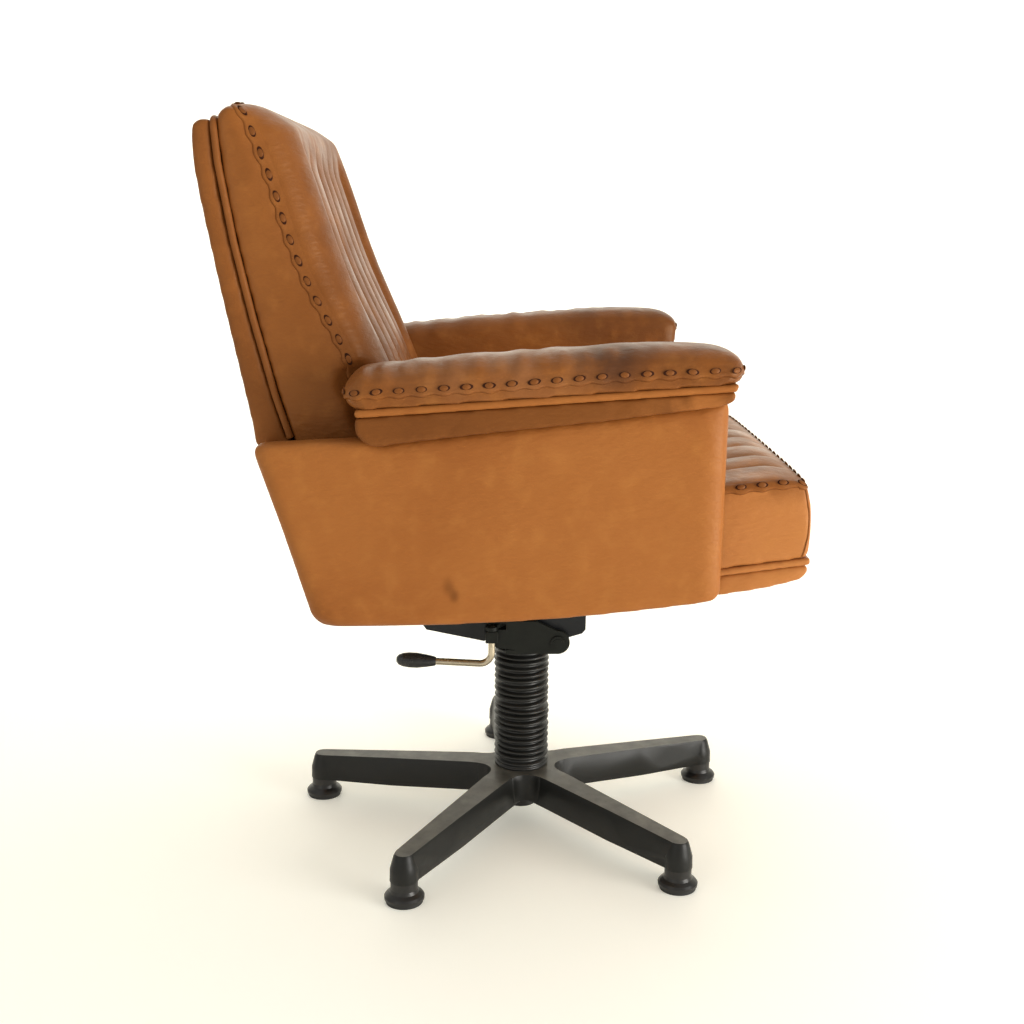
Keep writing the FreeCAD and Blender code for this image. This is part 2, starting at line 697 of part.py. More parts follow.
def make_seat():
    screws = pan_screws()
    bolts = panel_bolts()
    posts = arm_bolts()
    brackets = {name: back_bracket(side) for name, side in SIDES.items()}
    save("seat_pan", seat_pan().cut(screws))
    save("pivot_bushes", pivot_bushes())
    save("pan_screws", screws)
    save("bearer_front", bearer(-85, -45).cut(screws))
    save("bearer_rear", bearer(95, 135).cut(screws))
    save("seat_board", seat_board().cut([bolts, rear_panel()]))
    save("panel_bolts", bolts)
    save("arm_bolts", posts)
    save("rear_panel", rear_panel())
    save("back_shell", back_shell())
    save("back_welt", back_welt())
    save("seat_rail", seat_rail())
    save("seat_welt", seat_welt())
    arm_space = []
    for name, side in SIDES.items():
        lower, strip, pad = arm_base(side), arm_welt(side), arm_pad(side)
        arm_space += [lower, strip, pad]
        save("side_panel_" + name, side_panel(side).cut([bolts, posts, lower]))
        save("arm_base_" + name, lower.cut(posts))
        save("arm_welt_" + name, strip)
        save("arm_pad_" + name, pad)
        save("back_bracket_" + name, brackets[name])
    save("seat_cushion", seat_cushion(list(brackets.values()) + [seat_welt()]))
    save("back_cushion", back_cushion(arm_space))


make_base()
make_spindle()
make_column()
make_lever()
make_seat()
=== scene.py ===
import bpy
import bmesh
import math
import random
import numpy as np
from mathutils import Matrix, Vector
from mathutils.bvhtree import BVHTree


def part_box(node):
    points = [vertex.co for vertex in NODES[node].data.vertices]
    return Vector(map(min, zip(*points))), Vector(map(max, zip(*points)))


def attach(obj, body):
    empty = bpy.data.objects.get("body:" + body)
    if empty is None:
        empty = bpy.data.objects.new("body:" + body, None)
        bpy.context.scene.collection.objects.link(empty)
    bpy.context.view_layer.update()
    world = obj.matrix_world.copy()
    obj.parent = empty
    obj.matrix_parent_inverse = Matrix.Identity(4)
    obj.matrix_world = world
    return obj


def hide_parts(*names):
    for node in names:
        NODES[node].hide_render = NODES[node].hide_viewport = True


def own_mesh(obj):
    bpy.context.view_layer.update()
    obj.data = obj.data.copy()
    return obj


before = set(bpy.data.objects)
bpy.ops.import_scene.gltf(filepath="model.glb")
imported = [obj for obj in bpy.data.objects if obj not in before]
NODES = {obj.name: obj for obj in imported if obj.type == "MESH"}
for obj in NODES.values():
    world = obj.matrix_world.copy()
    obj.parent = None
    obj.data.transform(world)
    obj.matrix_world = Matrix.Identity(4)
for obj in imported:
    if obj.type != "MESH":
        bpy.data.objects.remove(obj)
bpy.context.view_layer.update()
MM = 0.001
SIDES = {"left": 1, "right": -1}
RNG = random.Random(7)

# The chair in millimetres: distances from its middle, then lines as (y, z) points in the side view.
SEAT_HALF = 287.0
BACK_HALF = 266.0
ARM_IN = 252.0
ARM_OUT = 360.0
LACE_PITCH = 26.5
ARM_MIDDLE = (ARM_IN + ARM_OUT) / 2
ARM_HALF = (ARM_OUT - ARM_IN) / 2
PAD_SPAN = (-250, 220)
BACK_FACE = (0.0, -0.935, 0.355)
BACK_LACE = [
    (341, 1022), (325, 979), (308, 932), (293, 879), (272, 823), (253, 785), (227, 736), (209, 690),
    (187, 640),
]
BACK_FRONT = [(284, 1004), (261, 943), (231, 851), (187, 741), (150, 645), (98, 507)]
BACK_WELT = [(376, 1008), (372, 960), (357, 868), (337, 776), (313, 681), (296, 628)]
SEAT_EDGE = [(-200, 569), (-253, 567), (-277, 569), (-309, 573), (-347, 577)]
ARM_LACE = [(220, 693), (49, 703.5), (-113, 716.5), (-215, 721), (-256, 722)]


# ---- number helpers -----------------------------------------------------------------------
def step(low, high, x):
    """Smooth 0 to 1 ramp, for a number or an array."""
    t = np.clip((x - low) / (high - low), 0, 1)
    return t * t * (3 - 2 * t)


def along(points, value, axis):
    """Reads the other coordinate of a chain of points at a value of one coordinate."""
    chain = sorted(points, key=lambda p: p[axis])
    return np.interp(value, [p[axis] for p in chain], [p[1 - axis] for p in chain])


def resample(points, spacing):
    """Points at equal steps along a smooth chain of 3D points."""
    points = np.array(points, float)
    dense = []
    last = len(points) - 1
    for i in range(last):
        p0, p1, p2, p3 = points[max(i - 1, 0)], points[i], points[i + 1], points[min(i + 2, last)]
        for t in np.linspace(0, 1, 24, endpoint=False):
            dense.append(0.5 * (2 * p1 + (p2 - p0) * t + (2 * p0 - 5 * p1 + 4 * p2 - p3) * t ** 2
                                + (3 * p1 - p0 - 3 * p2 + p3) * t ** 3))
    dense.append(points[-1])
    dense = np.array(dense)
    length = np.concatenate([[0], np.cumsum(np.linalg.norm(np.diff(dense, axis=0), axis=1))])
    count = max(2, int(round(length[-1] / spacing)) + 1)
    where = np.linspace(0, length[-1], count)
    return np.stack([np.interp(where, length, dense[:, k]) for k in range(3)], 1)


def evenly(points, spacing):
    """Points at equal steps along a chain of straight stretches."""
    points = np.array(points, float)
    length = np.concatenate([[0], np.cumsum(np.linalg.norm(np.diff(points, axis=0), axis=1))])
    where = np.linspace(0, length[-1], max(2, int(round(length[-1] / spacing)) + 1))
    return np.stack([np.interp(where, length, points[:, k]) for k in range(3)], 1)


# ---- materials ----------------------------------------------------------------------------
def new_material(name):
    material = bpy.data.materials.new(name)
    material.use_nodes = True
    nodes = material.node_tree.nodes
    return material, nodes, material.node_tree.links, nodes["Principled BSDF"]


def noise(nodes, links, scale, detail=4.0, stretch=None):
    """Noise texture on the object's own coordinates, in metres."""
    place = nodes.new("ShaderNodeTexCoord")
    texture = nodes.new("ShaderNodeTexNoise")
    texture.inputs["Scale"].default_value = scale
    texture.inputs["Detail"].default_value = detail
    if stretch:
        mapping = nodes.new("ShaderNodeMapping")
        mapping.inputs["Scale"].default_value = stretch
        links.new(place.outputs["Object"], mapping.inputs["Vector"])
        links.new(mapping.outputs["Vector"], texture.inputs["Vector"])
    else:
        links.new(place.outputs["Object"], texture.inputs["Vector"])
    return texture.outputs["Fac"]


def remap(nodes, links, value, low, high, to_low=0.0, to_high=1.0):
    node = nodes.new("ShaderNodeMapRange")
    node.interpolation_type = "SMOOTHSTEP"
    node.inputs["From Min"].default_value = low
    node.inputs["From Max"].default_value = high
    node.inputs["To Min"].default_value = to_low
    node.inputs["To Max"].default_value = to_high
    links.new(value, node.inputs["Value"])
    return node.outputs["Result"]


def mix_colour(nodes, links, factor, a, b):
    node = nodes.new("ShaderNodeMix")
    node.data_type = "RGBA"
    for socket, colour in ((node.inputs[6], a), (node.inputs[7], b)):
        if isinstance(colour, tuple):
            socket.default_value = (*colour, 1)
        else:
            links.new(colour, socket)
    links.new(factor, node.inputs[0])
    return node.outputs[2]


def bump(nodes, links, height, strength, distance, under=None):
    node = nodes.new("ShaderNodeBump")
    node.inputs["Strength"].default_value = strength
    node.inputs["Distance"].default_value = distance
    links.new(height, node.inputs["Height"])
    if under:
        links.new(under, node.inputs["Normal"])
    return node.outputs["Normal"]


def near(nodes, links, centre, radius, soft, stretch):
    """1 near a point of the object and 0 away from it, for stains and worn patches, and for patches of
    painted highlight and painted shade.
    """
    place = nodes.new("ShaderNodeTexCoord")
    shift = nodes.new("ShaderNodeVectorMath")
    shift.operation = "SUBTRACT"
    shift.inputs[1].default_value = centre
    scale = nodes.new("ShaderNodeVectorMath")
    scale.operation = "MULTIPLY"
    scale.inputs[1].default_value = stretch
    length = nodes.new("ShaderNodeVectorMath")
    length.operation = "LENGTH"
    links.new(place.outputs["Object"], shift.inputs[0])
    links.new(shift.outputs[0], scale.inputs[0])
    links.new(scale.outputs[0], length.inputs[0])
    return remap(nodes, links, length.outputs["Value"], radius, radius + soft, 1.0, 0.0)


def times(nodes, links, a, b):
    node = nodes.new("ShaderNodeMath")
    node.operation = "MULTIPLY"
    for socket, value in zip(node.inputs, (a, b)):
        if isinstance(value, float):
            socket.default_value = value
        else:
            links.new(value, socket)
    return node.outputs[0]


def leather(name, base, dark, pale, roughness=0.45, patches=()):
    """Aniline leather: patina from soft noise, fine pebble grain, small creases, stains and worn patches,
    and patches of painted highlight and painted shade.
    patches are (centre, radius, softness, stretch, colour, strength)."""
    material, nodes, links, shader = new_material(name)
    broad = noise(nodes, links, 5.0, 5.0)
    mottle = noise(nodes, links, 38.0, 6.0)
    colour = mix_colour(nodes, links, remap(nodes, links, broad, 0.25, 0.6), dark, base)
    tint = remap(nodes, links, mottle, 0.45, 0.8, 0.0, 0.36)
    colour = mix_colour(nodes, links, tint, colour, pale)
    # Each patch mixes in its colour: real stains and wear, and also painted highlights and painted shade.
    for centre, radius, soft, stretch, stain_and_painted_light, strength in patches:
        patch = near(nodes, links, centre, radius, soft, stretch)
        broken = times(nodes, links, patch, remap(nodes, links, noise(nodes, links, 22.0, 7.0), 0.3, 0.6))
        colour = mix_colour(nodes, links, times(nodes, links, broken, strength), colour, stain_and_painted_light)
    links.new(colour, shader.inputs["Base Color"])
    wear = noise(nodes, links, 16.0, 6.0)
    gloss = remap(nodes, links, wear, 0.3, 0.75, roughness + 0.12, roughness - 0.08)
    links.new(gloss, shader.inputs["Roughness"])
    grain = nodes.new("ShaderNodeTexVoronoi")
    grain.inputs["Scale"].default_value = 620.0
    place = nodes.new("ShaderNodeTexCoord")
    links.new(place.outputs["Object"], grain.inputs["Vector"])
    fine = bump(nodes, links, grain.outputs["Distance"], 0.22, 0.0004)
    crease = remap(nodes, links, noise(nodes, links, 70.0, 8.0, (1.0, 1.0, 2.6)), 0.35, 0.65)
    folds = bump(nodes, links, crease, 0.3, 0.0010, fine)
    waves = bump(nodes, links, noise(nodes, links, 13.0, 3.0), 0.45, 0.004, folds)
    links.new(waves, shader.inputs["Normal"])
    shader.inputs["Specular IOR Level"].default_value = 0.22
    shader.inputs["Specular Tint"].default_value = (1.0, 0.78, 0.56, 1)
    shader.inputs["Coat Weight"].default_value = 0.02
    shader.inputs["Coat Roughness"].default_value = 0.35
    return material


def plain(name, colour, roughness, metallic=0.0, grain_scale=250.0, grain=0.15, shine=0.45):
    """Moulded, painted or machined material with slight colour variation and a fine surface."""
    material, nodes, links, shader = new_material(name)
    darker = tuple(c * 0.75 for c in colour)
    mottle = remap(nodes, links, noise(nodes, links, 30.0, 5.0), 0.3, 0.7)
    links.new(mix_colour(nodes, links, mottle, darker, colour), shader.inputs["Base Color"])
    wear = noise(nodes, links, 60.0, 5.0)
    gloss = remap(nodes, links, wear, 0.3, 0.7, roughness + 0.08, max(roughness - 0.08, 0.05))
    links.new(gloss, shader.inputs["Roughness"])
    surface = bump(nodes, links, noise(nodes, links, grain_scale, 3.0), grain, 0.0004)
    links.new(surface, shader.inputs["Normal"])
    shader.inputs["Metallic"].default_value = metallic
    shader.inputs["Specular IOR Level"].default_value = shine
    return material


def cast_base_material():
    """Painted casting, worn to a grey taupe on the faces that look up."""
    material, nodes, links, shader = new_material("cast_base")
    normal = nodes.new("ShaderNodeNewGeometry")
    split = nodes.new("ShaderNodeSeparateXYZ")
    links.new(normal.outputs["Normal"], split.inputs[0])
    upward = remap(nodes, links, split.outputs["Z"], 0.72, 0.95)
    wear = remap(nodes, links, noise(nodes, links, 26.0, 8.0), 0.35, 0.7, 0.55, 1.0)
    speckle = noise(nodes, links, 60.0, 8.0)
    top = mix_colour(nodes, links, speckle, (0.045, 0.043, 0.036), (0.165, 0.157, 0.133))
    colour = mix_colour(nodes, links, times(nodes, links, upward, wear), (0.007, 0.007, 0.006), top)
    links.new(colour, shader.inputs["Base Color"])
    gloss = remap(nodes, links, noise(nodes, links, 40.0, 6.0), 0.3, 0.7, 0.44, 0.38)
    links.new(gloss, shader.inputs["Roughness"])
    links.new(bump(nodes, links, noise(nodes, links, 420.0, 4.0), 0.2, 0.0004), shader.inputs["Normal"])
    shader.inputs["Specular IOR Level"].default_value = 0.3
    return material


def wood(name, light, dark):
    material, nodes, links, shader = new_material(name)
    grain = noise(nodes, links, 9.0, 8.0, (0.6, 9.0, 9.0))
    streaks = remap(nodes, links, grain, 0.35, 0.65)
    links.new(mix_colour(nodes, links, streaks, dark, light), shader.inputs["Base Color"])
    gloss = remap(nodes, links, noise(nodes, links, 30.0), 0.3, 0.7, 0.7, 0.55)
    links.new(gloss, shader.inputs["Roughness"])
    links.new(bump(nodes, links, grain, 0.2, 0.0005), shader.inputs["Normal"])
    return material


TAN = (0.315, 0.107, 0.024)
TAN_DARK = (0.27, 0.085, 0.018)
TAN_PALE = (0.40, 0.155, 0.036)
# Tan brightened as painted light: the seat's boxing and rail lit from the front.
TAN_PAINTED_LIGHT = (0.40, 0.150, 0.042)
SADDLE = (0.225, 0.073, 0.016)
SADDLE_DARK = (0.175, 0.055, 0.012)
WORN = (0.060, 0.018, 0.007)
SMUDGE = (0.17, 0.052, 0.010)
# Pale painted sheen: a painted highlight standing in for reflections of the bright surroundings on the
# leather.
PAINTED_SHEEN = (0.30, 0.155, 0.085)
# Arm band leather: partly its own darker leather, partly painted shade from the pad overhanging it.
BAND_SHADED = (0.170, 0.053, 0.010)
BAND_DARK_SHADED = (0.14, 0.042, 0.008)

LEATHER_PANEL = leather("leather_panel", TAN, TAN_DARK, TAN_PALE, 0.46, patches=[
    ((-0.338, 0.098, 0.456), 0.001, 0.013, (1, 1.3, 0.8), SMUDGE, 0.8),
    ((-0.338, 0.091, 0.444), 0.001, 0.011, (1, 1.3, 0.8), SMUDGE, 0.9),
    ((-0.338, 0.255, 0.41), 0.01, 0.05, (1, 1, 1), SMUDGE, 0.35),
])
LEATHER_SEAT = leather("leather_seat", TAN_PAINTED_LIGHT, TAN, TAN_PALE, 0.38, patches=[
    # Painted shade: the seat's top darkened against its front-lit boxing.
    ((0.0, -0.22, 0.62), 0.06, 0.03, (0.12, 0.25, 1.0), SADDLE, 0.9),
    # Painted sheen on the seat's top.
    ((0.0, -0.20, 0.59), 0.06, 0.03, (0.30, 0.35, 1.0), PAINTED_SHEEN, 0.45),
])
LEATHER_ARM = leather("leather_arm_base", BAND_SHADED, BAND_DARK_SHADED, SADDLE, 0.48, patches=[
    # Painted highlight on the front flare of the near arm's band.
    ((-0.36, -0.21, 0.69), 0.03, 0.07, (1, 1, 1.5), TAN, 0.9),
])
LEATHER_PAD = leather("leather_pad", SADDLE, SADDLE_DARK, TAN_PALE, 0.38, patches=[
    ((-0.33, -0.17, 0.748), 0.05, 0.08, (0.9, 0.65, 1.5), WORN, 0.42),
    ((-0.34, -0.095, 0.735), 0.012, 0.045, (0.7, 1.0, 1.2), WORN, 0.9),
    ((0.30, -0.20, 0.745), 0.06, 0.10, (0.9, 0.7, 1.3), WORN, 0.45),
    # Painted highlight: a streak along the near arm's crown.
    ((-0.30, 0.04, 0.75), 0.03, 0.20, (2.0, 0.9, 2.0), PAINTED_SHEEN, 0.5),
    # Painted light: the back cushion's near side boxing brightened.
    ((-0.266, 0.33, 0.85), 0.04, 0.10, (1.2, 0.8, 0.4), TAN, 0.5),
    # Painted shade: the back cushion's front facing darkened with saddle dark.
    ((0.0, 0.18, 0.85), 0.15, 0.10, (0.6, 1.0, 0.6), SADDLE_DARK, 1.0),
])
LEATHER_SHELL = leather("leather_shell", SADDLE, SADDLE_DARK, TAN, 0.44)
LEATHER_WELT = leather("leather_welt", SADDLE, SADDLE_DARK, TAN, 0.42)
LACE_LEATHER = leather("lace_leather", SADDLE_DARK, SADDLE_DARK, SADDLE, 0.46)
# Painted shade: dark colour for the lace holes and the shadow line under the flap's edge.
LACE_PAINTED_SHADE = plain("lace_painted_shade", (0.040, 0.011, 0.004), 0.8, shine=0.1)
BASE_CAST = cast_base_material()
BLACK_PLASTIC = plain("black_plastic", (0.011, 0.010, 0.009), 0.36, grain_scale=500.0)
RUBBER = plain("rubber", (0.016, 0.016, 0.015), 0.62, grain_scale=300.0)
GAITER_RUBBER = plain("gaiter_rubber", (0.008, 0.008, 0.007), 0.40, grain_scale=350.0)
HOUSING_PAINT = plain("housing_paint", (0.006, 0.007, 0.005), 0.46, 0.0, 180.0, shine=0.2)
PAN_PAINT = plain("pan_paint", (0.005, 0.006, 0.008), 0.36, 0.0, 120.0, shine=0.3)
STEEL = plain("steel", (0.50, 0.50, 0.50), 0.32, 1.0, 300.0, 0.08)
NICKEL = plain("nickel", (0.56, 0.48, 0.36), 0.26, 1.0, 200.0, 0.06)
GRIP = plain("grip_plastic", (0.012, 0.012, 0.013), 0.30, grain_scale=200.0)
ACETAL = plain("acetal", (0.42, 0.41, 0.37), 0.5)
BEECH = wood("beech", (0.42, 0.27, 0.13), (0.30, 0.17, 0.075))
PLYWOOD = wood("plywood", (0.47, 0.33, 0.19), (0.33, 0.21, 0.11))


# ---- mesh helpers -------------------------------------------------------------------------
def link(name, mesh, material):
    piece = bpy.data.objects.new(name, mesh)
    bpy.context.scene.collection.objects.link(piece)
    piece.data.materials.clear()
    piece.data.materials.append(material)
    piece.data.polygons.foreach_set("use_smooth", [True] * len(piece.data.polygons))
    return piece


def bake_modifiers(piece):
    """Replaces the piece's mesh by the result of its modifiers."""
    bpy.context.view_layer.update()
    result = bpy.data.meshes.new_from_object(piece.evaluated_get(bpy.context.evaluated_depsgraph_get()))
    piece.modifiers.clear()
    piece.data = result


def points_of(piece):
    co = np.empty(len(piece.data.vertices) * 3)
    piece.data.vertices.foreach_get("co", co)
    return co.reshape(-1, 3) / MM


def normals_of(piece):
    n = np.empty(len(piece.data.vertices) * 3)
    piece.data.vertices.foreach_get("normal", n)
    return n.reshape(-1, 3)


def put_points(piece, co):
    piece.data.vertices.foreach_set("co", (co * MM).ravel())
    piece.data.update()


def remesh(piece, voxel):
    modifier = piece.modifiers.new("remesh", "REMESH")
    modifier.mode = "VOXEL"
    modifier.voxel_size = voxel * MM
    bake_modifiers(piece)


def relax(piece, rounds):
    modifier = piece.modifiers.new("relax", "SMOOTH")
    modifier.factor = 0.5
    modifier.iterations = rounds
    bake_modifiers(piece)


def soften(name, node, voxel, rounds, material, first=None, last=None):
    """Upholstered piece from the outer shape of a CAD node: even mesh, rounded edges, then shaping.
    first and last take the points and normals in millimetres and return new points."""
    piece = link(name, NODES[node].data.copy(), material)
    remesh(piece, voxel)
    if first:
        put_points(piece, first(points_of(piece), normals_of(piece)))
        remesh(piece, voxel)
    relax(piece, rounds)
    if last:
        put_points(piece, last(points_of(piece), normals_of(piece)))
    piece.data.materials.clear()
    piece.data.materials.append(material)
    piece.data.polygons.foreach_set("use_smooth", [True] * len(piece.data.polygons))
    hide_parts(node)
    return piece


def swell(co, normals):
    """Fills a thin strip a little, so that it closes on its neighbours."""
    return co + normals * 0.7


def finer(piece):
    modifier = piece.modifiers.new("finer", "SUBSURF")
    modifier.levels = 1
    modifier.render_levels = 1


def skin_tree(piece):
    mesh = piece.data
    corners = [v.co[:] for v in mesh.vertices]
    return BVHTree.FromPolygons(corners, [tuple(p.vertices) for p in mesh.polygons])


# ---- laced seams --------------------------------------------------------------------------
SHADOW_EDGE_ROW = 5                # row of the flap whose face, the cut edge of the leather, takes painted shade as the shadow line under the flap
POINTS_PER_STITCH = 8


def lace_frames(piece, path, facing):
    """Tangent, normal and the direction into the facing, at points laid on the piece's surface."""
    tree = skin_tree(piece)
    laid = []
    for p in path:
        spot, normal, _, _ = tree.find_nearest(Vector(p) * MM)
        laid.append((np.array(spot) / MM, np.array(normal)))
    frames = []
    for i, (spot, normal) in enumerate(laid):
        tangent = laid[min(i + 1, len(laid) - 1)][0] - laid[max(i - 1, 0)][0]
        tangent = tangent / np.linalg.norm(tangent)
        into = np.cross(normal, tangent)
        if np.dot(into, facing(spot)) < 0:
            into = -into
        frames.append((spot, tangent, normal, into / np.linalg.norm(into)))
    return tree, frames


def scalloped_flap(name, tree, frames, spacing, material):
    """Edge of the facing that overlaps the boxing: a thin closed band with a wavy free edge."""
    mesh = bpy.data.meshes.new(name)
    bm = bmesh.new()
    rows = [
        (-20.0, -1.5, 0), (-12.0, -0.2, 0), (-5.0, 0.9, 0), (0.5, 1.6, 0), (3.4, 1.9, 1), (4.3, 1.4, 1),
        (6.6, -0.3, 1), (-8.0, -3.0, 0),
    ]
    loops = []
    for i, (spot, tangent, normal, into) in enumerate(frames):
        wave = -1.3 * math.cos(2 * math.pi * i * spacing / LACE_PITCH)
        loop = []
        for offset, lift, wavy in rows:
            place = spot - into * (offset + wavy * wave)
            hit, skin, _, _ = tree.find_nearest(Vector(place) * MM)
            loop.append(bm.verts.new(hit + skin * lift * MM))
        loops.append(loop)
    for a, b in zip(loops, loops[1:]):
        for k in range(len(rows)):
            n = (k + 1) % len(rows)
            face = bm.faces.new((a[k], a[n], b[n], b[k]))
            # The edge row is coloured with painted shade: a painted shadow line under the scalloped edge.
            face.material_index = 1 if k == SHADOW_EDGE_ROW else 0
    bm.faces.new(loops[0])
    bm.faces.new(list(reversed(loops[-1])))
    bmesh.ops.recalc_face_normals(bm, faces=bm.faces)
    bm.to_mesh(mesh)
    bm.free()
    piece = link(name, mesh, material)
    piece.data.materials.append(LACE_PAINTED_SHADE)
    return piece


def stitches(name, frames, every, first, inset, leather_material):
    """Short leather loops through the flap, each over a longer dark oval of painted shade whose ends show
    as the holes.
    """
    mesh = bpy.data.meshes.new(name)
    bm = bmesh.new()
    for spot, tangent, normal, into in frames[first::every]:
        tilt = RNG.uniform(-0.16, 0.16)
        grow = RNG.uniform(0.9, 1.1)
        lean = np.cos(tilt) * tangent + np.sin(tilt) * into
        turn = Matrix((lean, np.cross(normal, lean), normal)).transposed().to_4x4()
        # Slot 1 is painted shade: the dark oval whose ends stand for the shade inside the holes.
        for material, size, lift in ((0, (5.6, 3.5, 1.7), 1.5), (1, (7.4 * grow, 3.7, 1.0), 1.5)):
            centre = Vector(spot + into * inset + normal * lift) * MM
            shape = Matrix.Translation(centre) @ turn @ Matrix.Diagonal((*[s * MM for s in size], 1))
            made = bmesh.ops.create_uvsphere(bm, u_segments=20, v_segments=12, radius=1.0, matrix=shape)
            for face in {f for v in made["verts"] for f in v.link_faces}:
                face.material_index = material
                face.smooth = True
    bm.to_mesh(mesh)
    bm.free()
    piece = bpy.data.objects.new(name, mesh)
    bpy.context.scene.collection.objects.link(piece)
    piece.data.materials.append(leather_material)
    piece.data.materials.append(LACE_PAINTED_SHADE)
    return piece


def lace(name, piece, path, facing, flap_material, inset):
    """Laced seam along a path: the wavy flap and its stitches."""
    spacing = LACE_PITCH / POINTS_PER_STITCH
    tree, frames = lace_frames(piece, resample(path, spacing), facing)
    flap = scalloped_flap(name + "_flap", tree, frames, spacing, flap_material)
    start = POINTS_PER_STITCH // 2
    loops = stitches(name + "_stitches", frames, POINTS_PER_STITCH, start, inset, LACE_LEATHER)
    for part, slot in ((flap, "leather_pad"), (loops, "leather_welt")):
        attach(part, "seat")


def dimples(co, normals, path, depth, reach):
    """Leather drawn in at every stitch of a laced seam."""
    spots = resample(path, LACE_PITCH)
    for spot in spots:
        away = np.linalg.norm(co - spot, axis=1)
        co = co - normals * (depth * np.exp(-(away / reach) ** 2))[:, None]
    return co


# ---- piping -------------------------------------------------------------------------------
def piping(name, path, radius, node=None):
    """Round cord along a chain of 3D points, which may stand for a CAD node."""
    curve = bpy.data.curves.new(name, "CURVE")
    curve.dimensions = "3D"
    curve.bevel_depth = radius * MM
    curve.bevel_resolution = 5
    curve.use_fill_caps = True
    line = curve.splines.new("POLY")
    line.points.add(len(path) - 1)
    for point, p in zip(line.points, path):
        point.co = (*(np.array(p) * MM), 1)
    carrier = bpy.data.objects.new(name + "_path", curve)
    bpy.context.scene.collection.objects.link(carrier)
    bpy.context.view_layer.update()
    mesh = bpy.data.meshes.new_from_object(carrier.evaluated_get(bpy.context.evaluated_depsgraph_get()))
    bpy.data.objects.remove(carrier)
    piece = link(name, mesh, LEATHER_WELT)
    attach(piece, "seat")
    if node:
        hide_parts(node)


def seam_line(name, piece, path):
    """Thin closed seam that follows the leather's surface."""
    tree = skin_tree(piece)
    laid = []
    for p in resample(path, 5):
        spot, normal, _, _ = tree.find_nearest(Vector(p) * MM)
        laid.append(np.array(spot + normal * 0.2 * MM) / MM)
    piping(name, laid, 1.0)


def rounded_corner(a, corner, b, radius, steps=8):
    """Points of a round turn at corner between the directions to a and b."""
    a, corner, b = np.array(a, float), np.array(corner, float), np.array(b, float)
    start = corner + (a - corner) / np.linalg.norm(a - corner) * radius
    end = corner + (b - corner) / np.linalg.norm(b - corner) * radius
    return [tuple((1 - t) ** 2 * start + 2 * t * (1 - t) * corner + t ** 2 * end)
            for t in np.linspace(0, 1, steps)]


def loop_path(corners, radius):
    """Chain of 3D points with every inner corner rounded."""
    path = [corners[0]]
    for before, corner, after in zip(corners, corners[1:], corners[2:]):
        path += rounded_corner(before, corner, after, radius)
    return path + [corners[-1]]


# ---- seat ---------------------------------------------------------------------------------
CHANNELS = 6
SEAT_BORDER = 74.0
BOXING_MIDDLE = 525.0       # height where the seat's upright faces are fullest
BOXING_REACH = 34.0


def quilt(across, half, count, depth, border_depth):
    """Height of stitched channels across a width: full pillows between sharp seams."""
    pitch = 2 * half / count
    inside = np.abs(across) < half
    phase = np.abs(((across + half) / pitch) % 1.0 - 0.5) * 2
    pillow = np.sqrt(np.clip(1 - phase ** 2.4, 0, 1))
    edge = np.clip((np.abs(across) - half) / 14.0, 0, 1)
    border = np.sqrt(np.clip(1 - (1 - edge) ** 2, 0, 1))
    return np.where(inside, depth * (pillow - 1), border_depth * (border - 1))


def shape_seat(co, normals):
    x, y, z = co.T
    on_top = step(0.35, 0.8, normals[:, 2])
    half = SEAT_HALF - SEAT_BORDER
    crown = 14.0 * np.sqrt(np.clip(1 - (np.abs(x) / SEAT_HALF) ** 2.6, 0, 1)) - 2.0
    fade = step(-352, -300, y)
    seams = quilt(x, half, CHANNELS, 9.0, 7.0) * step(-345, -290, y)
    sag = -8.0 * np.exp(-((y + 90) / 130) ** 2) * step(280, 120, np.abs(x))
    co = co.copy()
    co[:, 2] += on_top * (crown * (0.35 + 0.65 * fade) + seams + sag)
    full = np.exp(-((z - BOXING_MIDDLE) / BOXING_REACH) ** 2)
    bulge = 2.0 * full * step(-0.5, -0.9, normals[:, 1])
    co[:, 1] -= bulge * (1 - (np.abs(x) / SEAT_HALF) ** 4)
    side = step(0.6, 0.95, np.abs(normals[:, 0]))
    co[:, 0] += np.sign(x) * side * 2.5 * full
    return dimples(co, normals, seat_lace_path(), 1.3, 9.0)


def seat_lace_path():
    side = [(-SEAT_HALF, y, z) for y, z in SEAT_EDGE]
    corner = [(-SEAT_HALF + 3, -349, 577), (-SEAT_HALF + 10, -352, 577)]
    near_side = side + corner
    far_side = [(-x, y, z) for x, y, z in reversed(near_side)]
    front = [(x, -353, 577.5) for x in (-200, -100, 0, 100, 200)]
    return near_side + front + far_side


def seat_facing(spot):
    """Direction from a point of the seat's laced seam into the top leather."""
    return np.array((-0.3 * spot[0], -0.3 * spot[1], 60.0))


def make_seat_cushion():
    cushion = soften("seat_cushion_soft", "seat_cushion", 5.0, 8, LEATHER_SEAT, last=shape_seat)
    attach(cushion, "seat")
    lace("seat_lace", cushion, seat_lace_path(), seat_facing, LEATHER_PAD, 2.4)
    for name, side in SIDES.items():
        corner = [(-347, 571), (-351, 545), (-352, 520), (-351, 500), (-347, 480)]
        seam_line("seat_seam_" + name, cushion, [(side * SEAT_HALF, y, z) for y, z in corner])
    finer(cushion)
    strip = soften("seat_welt_soft", "seat_welt", 2.2, 12, LEATHER_SEAT, None, swell)
    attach(strip, "seat")
    rail = soften("seat_rail_soft", "seat_rail", 5.0, 8, LEATHER_SEAT)
    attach(rail, "seat")
    finer(rail)


# ---- back ---------------------------------------------------------------------------------
BOLSTER = 76.0
BACK_CHANNELS = 6


